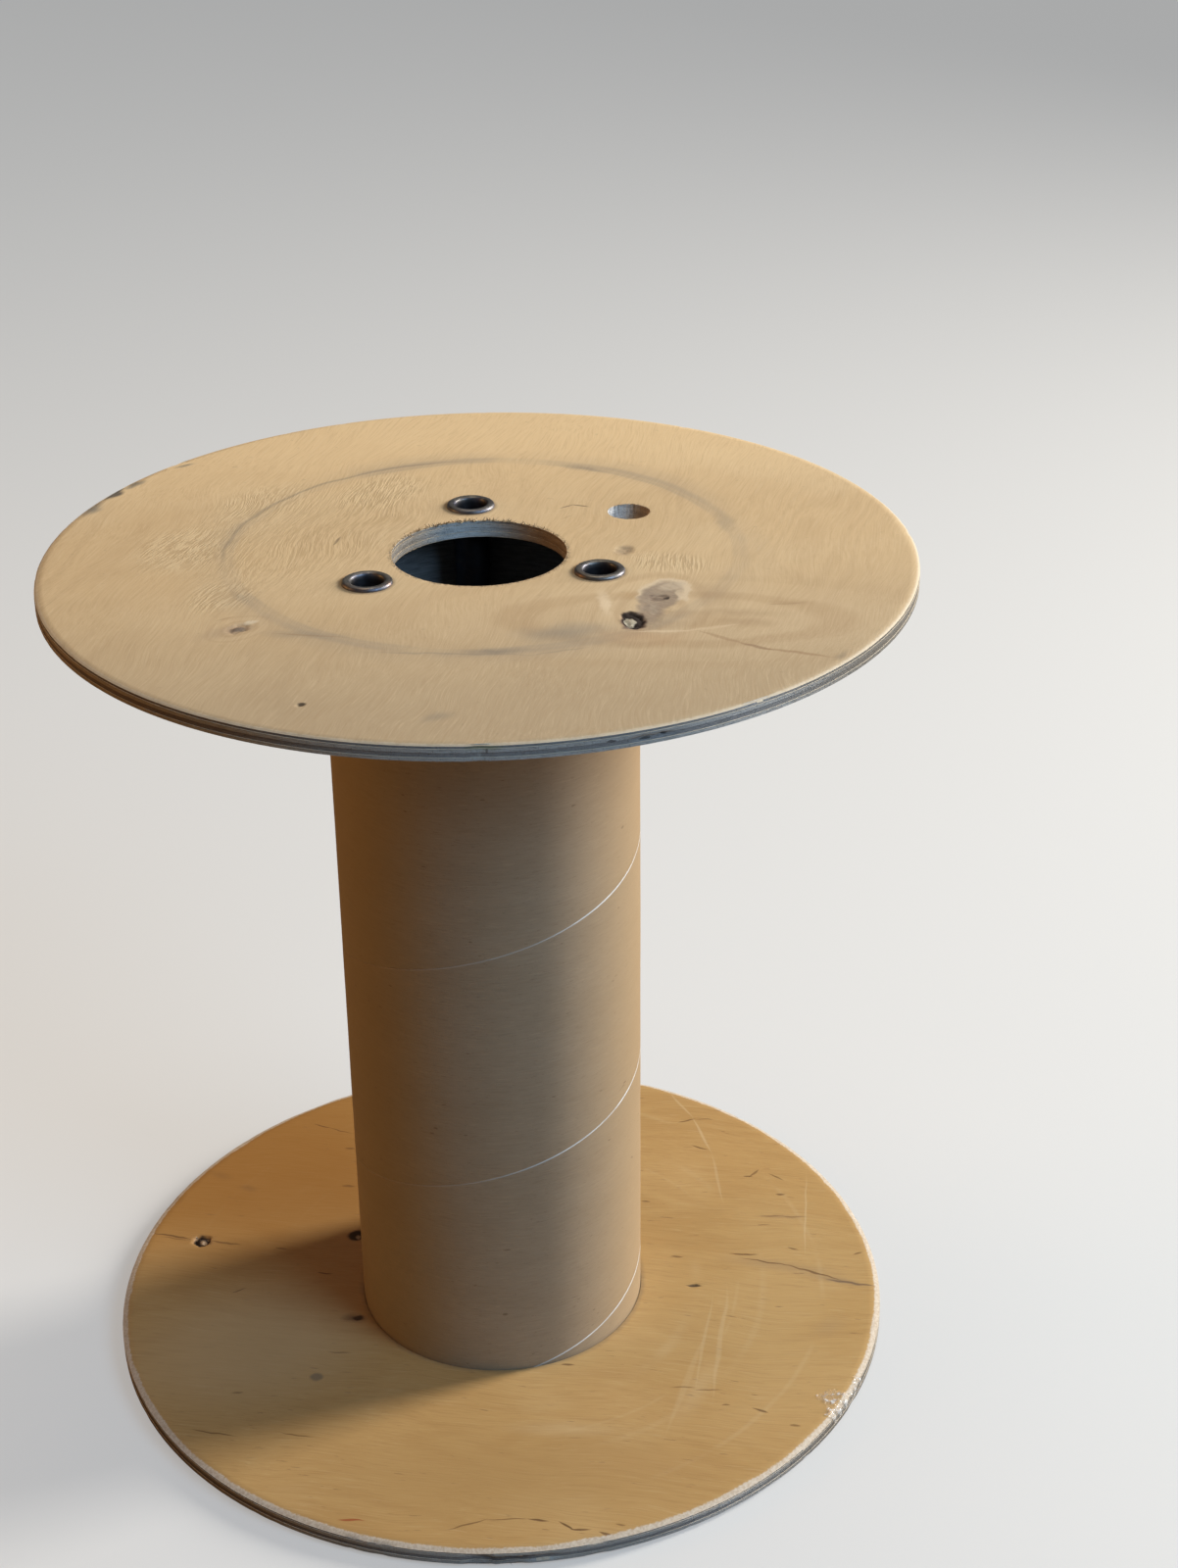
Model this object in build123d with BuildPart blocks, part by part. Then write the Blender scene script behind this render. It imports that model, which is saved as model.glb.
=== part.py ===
from build123d import *
import os

# Small cable drum standing on one end: two plywood flanges on a spiral-wound board tube,
# held together by three hollow steel tie tubes with rolled ends. Lengths are in mm.
# +Z is up along the drum's axis. The origin is on the floor, under the middle of the drum,
# and +Y points at the first tie tube.

# Plywood flanges
flange_diameter = 400.0
flange_thickness = 8.0
spindle_bore_diameter = 80.0
inner_bevel_width = 3.0
inner_bevel_depth = 1.0
outer_bevel_width = 1.2
outer_bevel_depth = 0.6

# Board core tube, let into a ring-shaped seat in each flange
winding_width = 406.5
core_diameter = 147.0
core_wall = 3.5
seat_depth = 2.0
seat_clearance = 0.25

# Steel tie tubes just inside the core, each end rolled outwards over the flange
tie_count = 3
tie_first_angle = 90.0
tie_core_gap = 1.5
tie_diameter = 17.0
tie_wall = 1.0
tie_clearance = 0.25
roll_hollow_width = 2.0
roll_hollow_height = 0.8
roll_mouth_bend = 1.7
roll_edge = 0.9

# Cable entry through the upper flange, halfway between two tie tubes and close to the core
entry_diameter = 20.0
entry_edge_gap = 2.0
entry_angle = tie_first_angle - 180.0 / tie_count

# Heights above the floor: the drum stands on the rolled ends
roll_height = roll_hollow_height + tie_wall
lower_outer_face = roll_height
lower_inner_face = lower_outer_face + flange_thickness
upper_inner_face = lower_inner_face + winding_width
upper_outer_face = upper_inner_face + flange_thickness
middle_height = (lower_outer_face + upper_outer_face) / 2
core_length = winding_width + 2 * seat_depth

# Radii
flange_radius = flange_diameter / 2
spindle_bore_radius = spindle_bore_diameter / 2
core_radius = core_diameter / 2
core_inner_radius = core_radius - core_wall
seat_outer_radius = core_radius + seat_clearance
seat_inner_radius = core_inner_radius - seat_clearance
tie_radius = tie_diameter / 2
tie_inner_radius = tie_radius - tie_wall
tie_circle_radius = core_inner_radius - tie_core_gap - tie_radius
tie_hole_radius = tie_radius + tie_clearance
roll_radius = tie_radius + roll_hollow_width + tie_wall
entry_radius = entry_diameter / 2
entry_circle_radius = core_radius + entry_edge_gap + entry_radius


# Turns one flange: outer_face is the height of its outside, outward is 1 facing up and -1 down.
def turn_flange(outer_face, outward):
    inner_face = outer_face - outward * flange_thickness
    seat_floor = inner_face + outward * seat_depth
    outer_bevel_foot = outer_face - outward * outer_bevel_depth
    inner_bevel_foot = inner_face + outward * inner_bevel_depth
    with BuildSketch(Plane.XZ) as section:
        with BuildLine():
            Polyline(
                (spindle_bore_radius, outer_face),
                (flange_radius - outer_bevel_width, outer_face),
                (flange_radius, outer_bevel_foot),
                (flange_radius, inner_bevel_foot),
                (flange_radius - inner_bevel_width, inner_face),
                (seat_outer_radius, inner_face),
                (seat_outer_radius, seat_floor),
                (seat_inner_radius, seat_floor),
                (seat_inner_radius, inner_face),
                (spindle_bore_radius, inner_face),
                close=True,
            )
        make_face()
    revolve(section.sketch, axis=Axis.Z)


# Drills the holes that the tie tubes pass through, down from the given height.
def drill_tie_holes(top_face):
    with Locations((0, 0, top_face)):
        with PolarLocations(tie_circle_radius, tie_count, start_angle=tie_first_angle):
            Hole(tie_hole_radius, depth=flange_thickness)


os.makedirs("parts", exist_ok=True)

with BuildPart() as lower_flange:
    turn_flange(lower_outer_face, -1)
    drill_tie_holes(lower_inner_face)
lower_flange.part.label = "lower_flange"
export_step(lower_flange.part, "parts/lower_flange.step")

with BuildPart() as upper_flange:
    turn_flange(upper_outer_face, 1)
    drill_tie_holes(upper_outer_face)
    with Locations((0, 0, upper_outer_face)):
        with PolarLocations(entry_circle_radius, 1, start_angle=entry_angle):
            Hole(entry_radius, depth=flange_thickness)
upper_flange.part.label = "upper_flange"
export_step(upper_flange.part, "parts/upper_flange.step")

with BuildPart() as core_tube:
    with BuildSketch(Plane.XY.offset(lower_inner_face - seat_depth)):
        Circle(core_radius)
        Circle(core_inner_radius, mode=Mode.SUBTRACT)
    extrude(amount=core_length)
core_tube.part.label = "core_tube"
export_step(core_tube.part, "parts/core_tube.step")

# Each tie tube is one turned wall. Its section goes up the bore and out over both crests, then
# back along the outside: down to the flange, up inside the roll and along the straight tube.
roll_seat = upper_outer_face - middle_height
roll_crest = roll_seat + roll_height
for number in range(1, tie_count + 1):
    angle = tie_first_angle + (number - 1) * 360.0 / tie_count
    foot = Vector(tie_circle_radius, 0, middle_height).rotate(Axis.Z, angle)
    with BuildPart() as tie_tube:
        with BuildSketch(Plane(origin=foot, x_dir=(1, 0, 0), z_dir=(0, -1, 0))):
            with BuildLine():
                FilletPolyline(
                    (roll_radius - roll_edge, -roll_crest),
                    (tie_inner_radius, -roll_crest),
                    (tie_inner_radius, roll_crest),
                    (roll_radius - roll_edge, roll_crest),
                    radius=roll_mouth_bend,
                )
                Polyline(
                    (roll_radius - roll_edge, roll_crest),
                    (roll_radius, roll_crest - roll_edge),
                    (roll_radius, roll_seat),
                    (roll_radius - tie_wall, roll_seat),
                    (roll_radius - tie_wall, roll_crest - tie_wall),
                    (tie_radius, roll_crest - tie_wall),
                    (tie_radius, tie_wall - roll_crest),
                    (roll_radius - tie_wall, tie_wall - roll_crest),
                    (roll_radius - tie_wall, -roll_seat),
                    (roll_radius, -roll_seat),
                    (roll_radius, roll_edge - roll_crest),
                    (roll_radius - roll_edge, -roll_crest),
                )
            make_face()
        revolve(axis=Axis(foot, (0, 0, 1)))
    tie_tube.part.label = f"tie_tube_{number}"
    export_step(tie_tube.part, f"parts/tie_tube_{number}.step")
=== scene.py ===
import math
import random
import bmesh
import bpy
from mathutils import Matrix, Vector, noise


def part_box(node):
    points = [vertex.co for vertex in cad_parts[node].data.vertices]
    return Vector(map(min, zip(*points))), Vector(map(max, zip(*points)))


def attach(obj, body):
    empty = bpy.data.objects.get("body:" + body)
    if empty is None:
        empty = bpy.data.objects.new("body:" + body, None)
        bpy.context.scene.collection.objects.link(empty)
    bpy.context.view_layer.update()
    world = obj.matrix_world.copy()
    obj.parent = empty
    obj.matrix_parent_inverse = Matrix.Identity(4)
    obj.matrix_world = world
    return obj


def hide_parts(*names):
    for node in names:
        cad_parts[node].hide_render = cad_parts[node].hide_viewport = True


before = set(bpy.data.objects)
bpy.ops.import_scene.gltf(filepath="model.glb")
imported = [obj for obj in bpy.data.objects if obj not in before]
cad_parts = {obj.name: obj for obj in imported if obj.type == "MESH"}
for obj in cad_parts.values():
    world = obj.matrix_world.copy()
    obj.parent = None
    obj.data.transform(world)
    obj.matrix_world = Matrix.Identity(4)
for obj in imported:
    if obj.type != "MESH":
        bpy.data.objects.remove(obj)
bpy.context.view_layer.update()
scene = bpy.context.scene
random.seed(11)
metre = 0.001  # shapes are drawn in millimetres and scaled by this when they are finished

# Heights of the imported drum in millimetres, read from its nodes
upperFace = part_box("upper_flange")[1].z / metre
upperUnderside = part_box("upper_flange")[0].z / metre
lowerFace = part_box("lower_flange")[1].z / metre
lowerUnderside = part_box("lower_flange")[0].z / metre
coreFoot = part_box("core_tube")[0].z / metre
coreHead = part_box("core_tube")[1].z / metre
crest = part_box("tie_tube_1")[1].z / metre

# Radius of the flanges, and where the tie tubes stand
flangeReach = 200
tubeCircle = 60
tubeAngles = [math.radians(90 + 120 * number) for number in range(3)]
tubePlaces = [(tubeCircle * math.cos(angle), tubeCircle * math.sin(angle)) for angle in tubeAngles]

# Camera as the photograph was taken, in millimetres and degrees
cameraValues = {
    "place": (-59.9, -1054.4, 843.8),
    "yaw": 5.906,
    "pitch": 27.06,
    "roll": -0.64,
    "lens": 56.83,
}


def placeCamera(values):
    yaw, pitch, roll = (math.radians(values[key]) for key in ("yaw", "pitch", "roll"))
    ahead = Vector((math.sin(yaw) * math.cos(pitch), math.cos(yaw) * math.cos(pitch), -math.sin(pitch)))
    side = Vector((math.cos(yaw), -math.sin(yaw), 0))
    above = side.cross(ahead)
    turnedSide = side * math.cos(roll) + above * math.sin(roll)
    turnedAbove = above * math.cos(roll) - side * math.sin(roll)
    camera = bpy.data.objects.new("camera", bpy.data.cameras.new("camera"))
    camera.data.sensor_fit = "AUTO"
    camera.data.sensor_width = 36
    camera.data.lens = values["lens"]
    camera.data.clip_start = 0.05
    camera.matrix_world = Matrix.Translation(Vector(values["place"]) * metre) @ Matrix(
        (turnedSide, turnedAbove, -ahead)).transposed().to_4x4()
    scene.collection.objects.link(camera)
    scene.camera = camera


placeCamera(cameraValues)
print("camera placed")


# Helpers for node trees. A new node goes into the tree that its incoming sockets belong to
def isSocket(value):
    return isinstance(value, bpy.types.NodeSocket)


def feed(sockets, values):
    for key, value in values.items():
        if isSocket(value):
            value.id_data.links.new(value, sockets[key])
        else:
            sockets[key].default_value = value


def addNode(kind, settings=None, values=None, tree=None):
    values = values or {}
    tree = tree or next(value.id_data for value in values.values() if isSocket(value))
    made = tree.nodes.new(kind)
    for key, value in (settings or {}).items():
        setattr(made, key, value)
    feed(made.inputs, values)
    return made


def reckon(operation, *terms):
    return addNode("ShaderNodeMath", {"operation": operation}, dict(enumerate(terms))).outputs[0]


def times(first, second):
    return reckon("MULTIPLY", first, second)


def plus(first, second):
    return reckon("ADD", first, second)


def minus(first, second):
    return reckon("SUBTRACT", first, second)


def timesPlus(first, second, third):
    return reckon("MULTIPLY_ADD", first, second, third)


def reckonVector(operation, *terms):
    return addNode("ShaderNodeVectorMath", {"operation": operation}, dict(enumerate(terms))).outputs[0]


def dotProduct(point, axis):
    return addNode("ShaderNodeVectorMath", {"operation": "DOT_PRODUCT"}, {0: point, 1: axis}).outputs["Value"]


def splitPoint(point):
    return addNode("ShaderNodeSeparateXYZ", None, {0: point}).outputs


def joinPoint(parts):
    return addNode("ShaderNodeCombineXYZ", None, parts).outputs[0]


def fade(value, start, end, low=0, high=1):  # smooth step from low at start to high at end
    return addNode("ShaderNodeMapRange", {"interpolation_type": "SMOOTHSTEP"}, {
        "Value": value, "From Min": start, "From Max": end, "To Min": low, "To Max": high}).outputs[0]


def blend(share, under, over):
    under, over = (colour if isSocket(colour) else (*colour, 1) for colour in (under, over))
    return addNode("ShaderNodeMix", {"data_type": "RGBA"}, {0: share, 6: under, 7: over}).outputs[2]


def paintCoats(colour, *coats):  # each coat: share, paint
    for share, paint in coats:
        colour = blend(share, colour, paint)
    return colour


def clouds(point, stretch, detail=2, rough=0.5, output=0):  # noise, stretched per millimetre
    stretch = stretch if isinstance(stretch, tuple) else (stretch,) * 3
    return addNode("ShaderNodeTexNoise", None, {
        "Vector": reckonVector("MULTIPLY", point, stretch), "Scale": 1, "Detail": detail,
        "Roughness": rough}).outputs[output]


def wander(point, stretch, amount, detail=1):  # shifts the point by noise, for ragged outlines
    shift = reckonVector("SUBTRACT", clouds(point, stretch, detail, output=1), (0.5,) * 3)
    return reckonVector("ADD", point, reckonVector("MULTIPLY", shift, (amount,) * 3))


def beginGroup(name, takes, gives):  # takes: vectors by name, then numbers with their usual values
    tree = bpy.data.node_groups.new(name, "ShaderNodeTree")
    for label, usual in takes.items():
        kind = "NodeSocketVector" if usual is None else "NodeSocketFloat"
        socket = tree.interface.new_socket(name=label, in_out="INPUT", socket_type=kind)
        if usual is not None:
            socket.default_value = usual
    for label in gives:
        tree.interface.new_socket(name=label, in_out="OUTPUT", socket_type="NodeSocketFloat")
    return tree, tree.nodes.new("NodeGroupInput").outputs, tree.nodes.new("NodeGroupOutput").inputs


def useGroup(group, values):
    return addNode("ShaderNodeGroup", {"node_tree": group}, values).outputs


# Fibres, growth figure and short dark flecks of peeled veneer, running at the angle Turn
def makeVeneerGrain():
    tree, entry, leave = beginGroup(
        "veneerGrain", {"Point": None, "Turn": 0, "Seed": 0, "Curl": 14}, ("Figure", "Fibre", "Fleck", "Ripple"))
    turned = addNode("ShaderNodeVectorRotate", {"rotation_type": "Z_AXIS"}, {
        "Vector": entry["Point"], "Angle": times(entry["Turn"], -1)}).outputs[0]
    moved = reckonVector("ADD", turned, joinPoint({0: entry["Seed"], 1: entry["Seed"]}))
    shift = times(minus(clouds(moved, (0.009, 0.016, 0)), 0.5), entry["Curl"])
    curled = reckonVector("ADD", moved, joinPoint({1: shift}))
    field = clouds(curled, (0.003, 0.017, 0), 2, 0.4)
    rings = reckon("SINE", times(field, 95))
    ripple = clouds(wander(curled, 0.1, 0.9), (0.085, 1.05, 1.05))
    feed(leave, {
        "Figure": plus(times(field, 0.75), times(rings, 0.12)),
        "Fibre": clouds(curled, (0.045, 1.15, 1.15), 4, 0.64),
        "Fleck": fade(clouds(curled, (0.11, 0.85, 0.85), 2, 0.4), 0.7, 0.78),
        "Ripple": fade(ripple, 0.36, 0.64)})
    return tree


# The two half axes of a mark as vectors whose dot product with a place is 1 at the mark's end
def markAxes(turn, halfLength, halfWidth):
    cosine, sine = math.cos(turn), math.sin(turn)
    return (cosine / halfLength, sine / halfLength, 0), (-sine / halfWidth, cosine / halfWidth, 0)


def beginMark(name, gives):
    tree, entry, leave = beginGroup(name, dict.fromkeys(("Point", "Centre", "Along", "Across")), (gives,))
    local = reckonVector("SUBTRACT", entry["Point"], entry["Centre"])
    return tree, dotProduct(local, entry["Along"]), dotProduct(local, entry["Across"]), leave


# Distance from the middle of an oval mark, 1 at its rim
def makeOvalMark():
    tree, along, across, leave = beginMark("ovalMark", "Reach")
    feed(leave, {"Reach": reckon("SQRT", timesPlus(along, along, times(across, across)))})
    return tree


# A tapering stroke, for cracks, scratches and streaks
def makeStrokeMark():
    tree, along, across, leave = beginMark("strokeMark", "Mask")
    feed(leave, {"Mask": fade(timesPlus(along, along, reckon("ABSOLUTE", across)), 1.15, 0.4)})
    return tree


def fromAxis(part):  # distance from the axis
    return reckon("SQRT", plus(times(part[0], part[0]), times(part[1], part[1])))


# A ring, for dirt rings, rub marks and worn rims
def makeRingMark():
    tree, entry, leave = beginGroup(
        "ringMark", {"Point": None, "Centre": None, "Radius": 50, "Half width": 2}, ("Mask",))
    part = splitPoint(reckonVector("SUBTRACT", entry["Point"], entry["Centre"]))
    off = reckon("ABSOLUTE", minus(fromAxis(part), entry["Radius"]))
    feed(leave, {"Mask": fade(reckon("DIVIDE", off, entry["Half width"]), 1, 0.1)})
    return tree


# Handling dirt: soft clouds and fine specks
def makeGrime():
    tree, entry, leave = beginGroup("grime", {"Point": None, "Size": 1}, ("Clouds", "Specks"))
    scaled = addNode("ShaderNodeVectorMath", {"operation": "SCALE"}, {
        0: reckonVector("MULTIPLY", entry["Point"], (0.022,) * 3),
        "Scale": reckon("DIVIDE", 1, entry["Size"])}).outputs[0]
    feed(leave, {"Clouds": clouds(scaled, 1, 4, 0.55), "Specks": fade(clouds(scaled, 22, 1), 0.72, 0.8)})
    return tree


veneerGrain = makeVeneerGrain()
ovalMark = makeOvalMark()
strokeMark = makeStrokeMark()
ringMark = makeRingMark()
grime = makeGrime()


def useGrain(point, turn, seed, curl):
    return useGroup(veneerGrain, {"Point": point, "Turn": math.radians(turn), "Seed": seed, "Curl": curl})


def useGrime(point, size):
    return useGroup(grime, {"Point": point, "Size": size})


def useRing(point, radius, halfWidth, x=0, y=0):
    return useGroup(ringMark, {
        "Point": point, "Centre": (x, y, 0), "Radius": radius, "Half width": halfWidth})["Mask"]


def startMaterial(name, roughness, metallic=0):
    material = bpy.data.materials.new(name)
    material.use_nodes = True
    tree = material.node_tree
    shader = tree.nodes["Principled BSDF"].inputs
    feed(shader, {"Roughness": roughness, "Metallic": metallic})
    place = addNode("ShaderNodeTexCoord", tree=tree).outputs["Object"]
    point = addNode("ShaderNodeMapping", None, {"Vector": place, "Scale": (1 / metre,) * 3}).outputs[0]
    return material, shader, point


def relief(height):  # height in millimetres
    return addNode("ShaderNodeBump", None, {"Height": height, "Strength": 1, "Distance": metre}).outputs[0]


def ovalReach(point, x, y, halfLength, halfWidth, turn):
    along, across = markAxes(math.radians(turn), halfLength, halfWidth)
    return useGroup(ovalMark, {"Point": point, "Centre": (x, y, 0), "Along": along, "Across": across})["Reach"]


# Each oval: x, y, half length, half width, turn in degrees, softness of the rim, colour, strength
def paintOvals(point, colour, ovals):
    for *place, soft, paint, strength in ovals:
        colour = blend(fade(ovalReach(point, *place), 1, 1 - soft, 0, strength), colour, paint)
    return colour


def dulled(colour):  # extra roughness where knots, holes and dirt are dark
    light = addNode("ShaderNodeRGBToBW", None, {0: colour}).outputs[0]
    return fade(light, 0.2, 0.05, 0, 0.4)


# Each stroke: start x, y, end x, y, half width, strength, and a colour if it isn't the usual one
def paintStrokes(point, colour, strokes, usual):
    for startX, startY, endX, endY, halfWidth, strength, *own in strokes:
        runX, runY = endX - startX, endY - startY
        along, across = markAxes(math.atan2(runY, runX), math.hypot(runX, runY) / 2 + halfWidth, halfWidth)
        mask = useGroup(strokeMark, {
            "Point": point, "Centre": ((startX + endX) / 2, (startY + endY) / 2, 0),
            "Along": along, "Across": across})["Mask"]
        colour = blend(times(mask, strength), colour, *(own or [usual]))
    return colour


# Upper side of the upper flange: honey-coloured, rough on the left, with knots and an old dirt ring
upperVeneer = {
    "base": (0.635, 0.445, 0.245),
    "cream": (0.67, 0.492, 0.29),
    "tan": (0.505, 0.34, 0.182),
    # painted shade on the front of the face and painted light on its back
    "paintedFrontShade": (0.42, 0.312, 0.198),
    "paintedBackLight": (0.82, 0.59, 0.33),
    "fibreDark": (0.39, 0.245, 0.125),
    "fibrePale": (0.74, 0.565, 0.36),
    "growthDark": (0.42, 0.27, 0.15),
    "growthPale": (0.7, 0.53, 0.34),
    # painted shade and painted light of the raised fibres in the rippled areas
    "rippleShade": (0.4, 0.27, 0.145),
    "rippleLight": (0.78, 0.61, 0.38),
    "ringDirt": (0.36, 0.28, 0.2),
    "ringLine": (0.28, 0.215, 0.15),
    # rubbed dirt and painted shade round the tube ends
    "tubeRubAndShade": (0.22, 0.15, 0.09),
    "bevel": (0.7, 0.58, 0.43),
    # painted shade among the torn fibres at the bore's lip
    "boreLipShade": (0.2, 0.14, 0.09),
    "speck": (0.3, 0.21, 0.13),
    "grainTurn": 71,
    "roughness": 0.62,
    "ringCentre": (3, 5),
    # x, y, half length, half width, turn, number of growth rings, strength
    "growths": ((69, -75, 25, 15, 72, 9, 0.3), (-108, -74, 10, 7, 40, 9, 0.25), (78, -88, 62, 24, -8, 7, 0.28)),
    # radius, half width, strength
    "dirtRings": ((119, 4.5, 0.48), (115, 2.2, 0.38), (121, 15, 0.22)),
    # x, y, half length, half width, turn, strength
    "roughAreas": ((-80, 32, 70, 58, 55, 0.45), (-135, 22, 30, 22, 70, 1), (-42, 84, 28, 20, 60, 1),
                   (-117, -38, 18, 14, 60, 1), (84, -24, 18, 12, -30, 1), (-100, 75, 34, 20, 50, 0.7)),
}
knotDark = (0.022, 0.012, 0.008)
knotGrey = (0.335, 0.248, 0.176)
knotPale = (0.68, 0.53, 0.36)
stainGrey = (0.27, 0.215, 0.16)
stainBrown = (0.33, 0.2, 0.105)
upperOvals = (
    (62, -104, 30, 11, -12, 0.9, (0.46, 0.29, 0.16), 0.55),
    (30, -96, 30, 15, 5, 1, (0.3, 0.245, 0.185), 0.7),
    (98, -62, 14, 22, 20, 1, (0.4, 0.265, 0.15), 0.45),
    (104, -84, 30, 6, -10, 1, (0.38, 0.25, 0.14), 0.45),
    (-2, -111.5, 20, 4.5, -3, 1, stainGrey, 0.75),
    (59, 105, 18, 5, -32, 1, stainGrey, 0.55),
    (117, 24, 22, 6, 95, 1, stainGrey, 0.35),
    (-28.5, -172.6, 10, 6, 20, 1, stainGrey, 0.5),
    (108, -95, 17, 8, -20, 1, stainBrown, 0.4),
    (130, -77, 14, 4, -5, 1, stainBrown, 0.3),
    (-116, -78, 16, 9, 25, 0.9, (0.44, 0.31, 0.19), 0.6),
    (-80, -84, 26, 6, -12, 1, stainGrey, 0.4),
    (66, -6, 8, 5.5, 70, 0.6, (0.33, 0.235, 0.15), 0.7),
    (-82.3, -154.3, 2.4, 1.7, 10, 0.6, knotDark, 0.85),
    (-180, 80, 17, 4.6, 66, 0.9, (0.2, 0.18, 0.15), 0.8),
    (-171, 99, 9, 4.2, 59, 0.8, (0.07, 0.062, 0.055), 0.9),
    (-162, 112, 10, 4, 55, 0.9, (0.18, 0.16, 0.13), 0.8),
    (-137, 136, 8, 2.6, 45, 1, (0.26, 0.22, 0.17), 0.55),
    (141, -134, 8, 3, 46, 1, (0.22, 0.18, 0.13), 0.45),
    (61.5, -58, 9, 6, 80, 1, (0.5, 0.33, 0.17), 0.5),
)
upperKnots = (
    (77.5, -56.5, 16, 12.5, 50, 0.16, knotPale, 0.85),
    (75, -62, 20, 10.5, 66, 0.3, knotGrey, 0.9),
    (68, -80, 17, 8, 74, 0.55, (0.33, 0.245, 0.175), 0.88),
    (70, -58, 12, 4.5, 72, 0.8, (0.25, 0.188, 0.14), 0.5),
    (82, -51, 8, 5, 20, 0.5, (0.56, 0.44, 0.31), 0.75),
    (84.5, -62, 10, 2.4, 95, 0.6, knotPale, 0.7),
    (70, -76, 9, 3, 80, 0.7, (0.42, 0.33, 0.24), 0.55),
    (50, -66, 20, 3.8, 88, 0.9, (0.78, 0.61, 0.41), 0.7),
    (74, -62.8, 5.4, 5, 0, 0.35, (0.19, 0.13, 0.092), 0.7),
    (73.4, -62.2, 2.2, 2.4, 0, 0.5, (0.33, 0.25, 0.18), 0.6),
    (77.2, -63.6, 1.5, 1.9, 0, 0.5, knotDark, 0.85),
    (59.8, -87, 12, 6.6, 88, 0.35, (0.11, 0.064, 0.048), 0.94),
    (59.8, -86, 10.2, 5.6, 88, 0.3, knotDark, 1),
    (56.6, -95, 4.2, 3, 20, 0.7, (0.17, 0.115, 0.092), 0.7),
    (58.6, -87.6, 5.4, 2.6, 100, 0.3, (0.5, 0.43, 0.32), 0.97),
    (-108.3, -73.9, 9, 6.5, 35, 0.6, (0.35, 0.235, 0.15), 0.7),
    (-102.5, -68, 4.5, 2.6, 40, 0.6, (0.7, 0.58, 0.42), 0.75),
    (-108.3, -74.2, 4.6, 2.9, 55, 0.6, (0.15, 0.115, 0.09), 0.85),
)
upperStrokes = (
    (41.8, 50.9, 49.5, 55.2, 0.65, 0.85, (0.2, 0.13, 0.08)),
    (48.5, 55, 56.5, 51.2, 0.7, 0.9, (0.14, 0.09, 0.05)),
    (40.6, 37.5, 47.2, 41.2, 0.6, 0.4),
    (-66.4, 17.8, -62.6, 28, 0.9, 0.7, (0.2, 0.135, 0.08)),
    (86, -101.5, 105, -119.6, 1.5, 0.45),
    (102, -117.8, 114, -125.6, 1.7, 0.65, (0.27, 0.16, 0.09)),
    (110, -123, 138, -136.4, 1.6, 0.6),
    (58, -99, 84, -101.2, 1.5, 0.55, (0.72, 0.55, 0.36)),
    (80, -100.8, 104, -97, 1.7, 0.4, (0.7, 0.53, 0.34)),
    (118, -77.6, 137, -77.2, 0.6, 0.55),
    (-96, -80, -60, -90, 0.8, 0.4),
    (-118, -64, -109, -60, 0.6, 0.45),
    (12, -118, 40, -112, 1, 0.35, stainGrey),
    (-60, -105, 20, -118.5, 1.1, 0.4, stainGrey),
    (-175.5, 92, -166, 108, 1.3, 0.85, (0.06, 0.054, 0.048)),
    (-144, 133, -134, 138.6, 0.7, 0.65, (0.17, 0.15, 0.12)),
)


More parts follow.
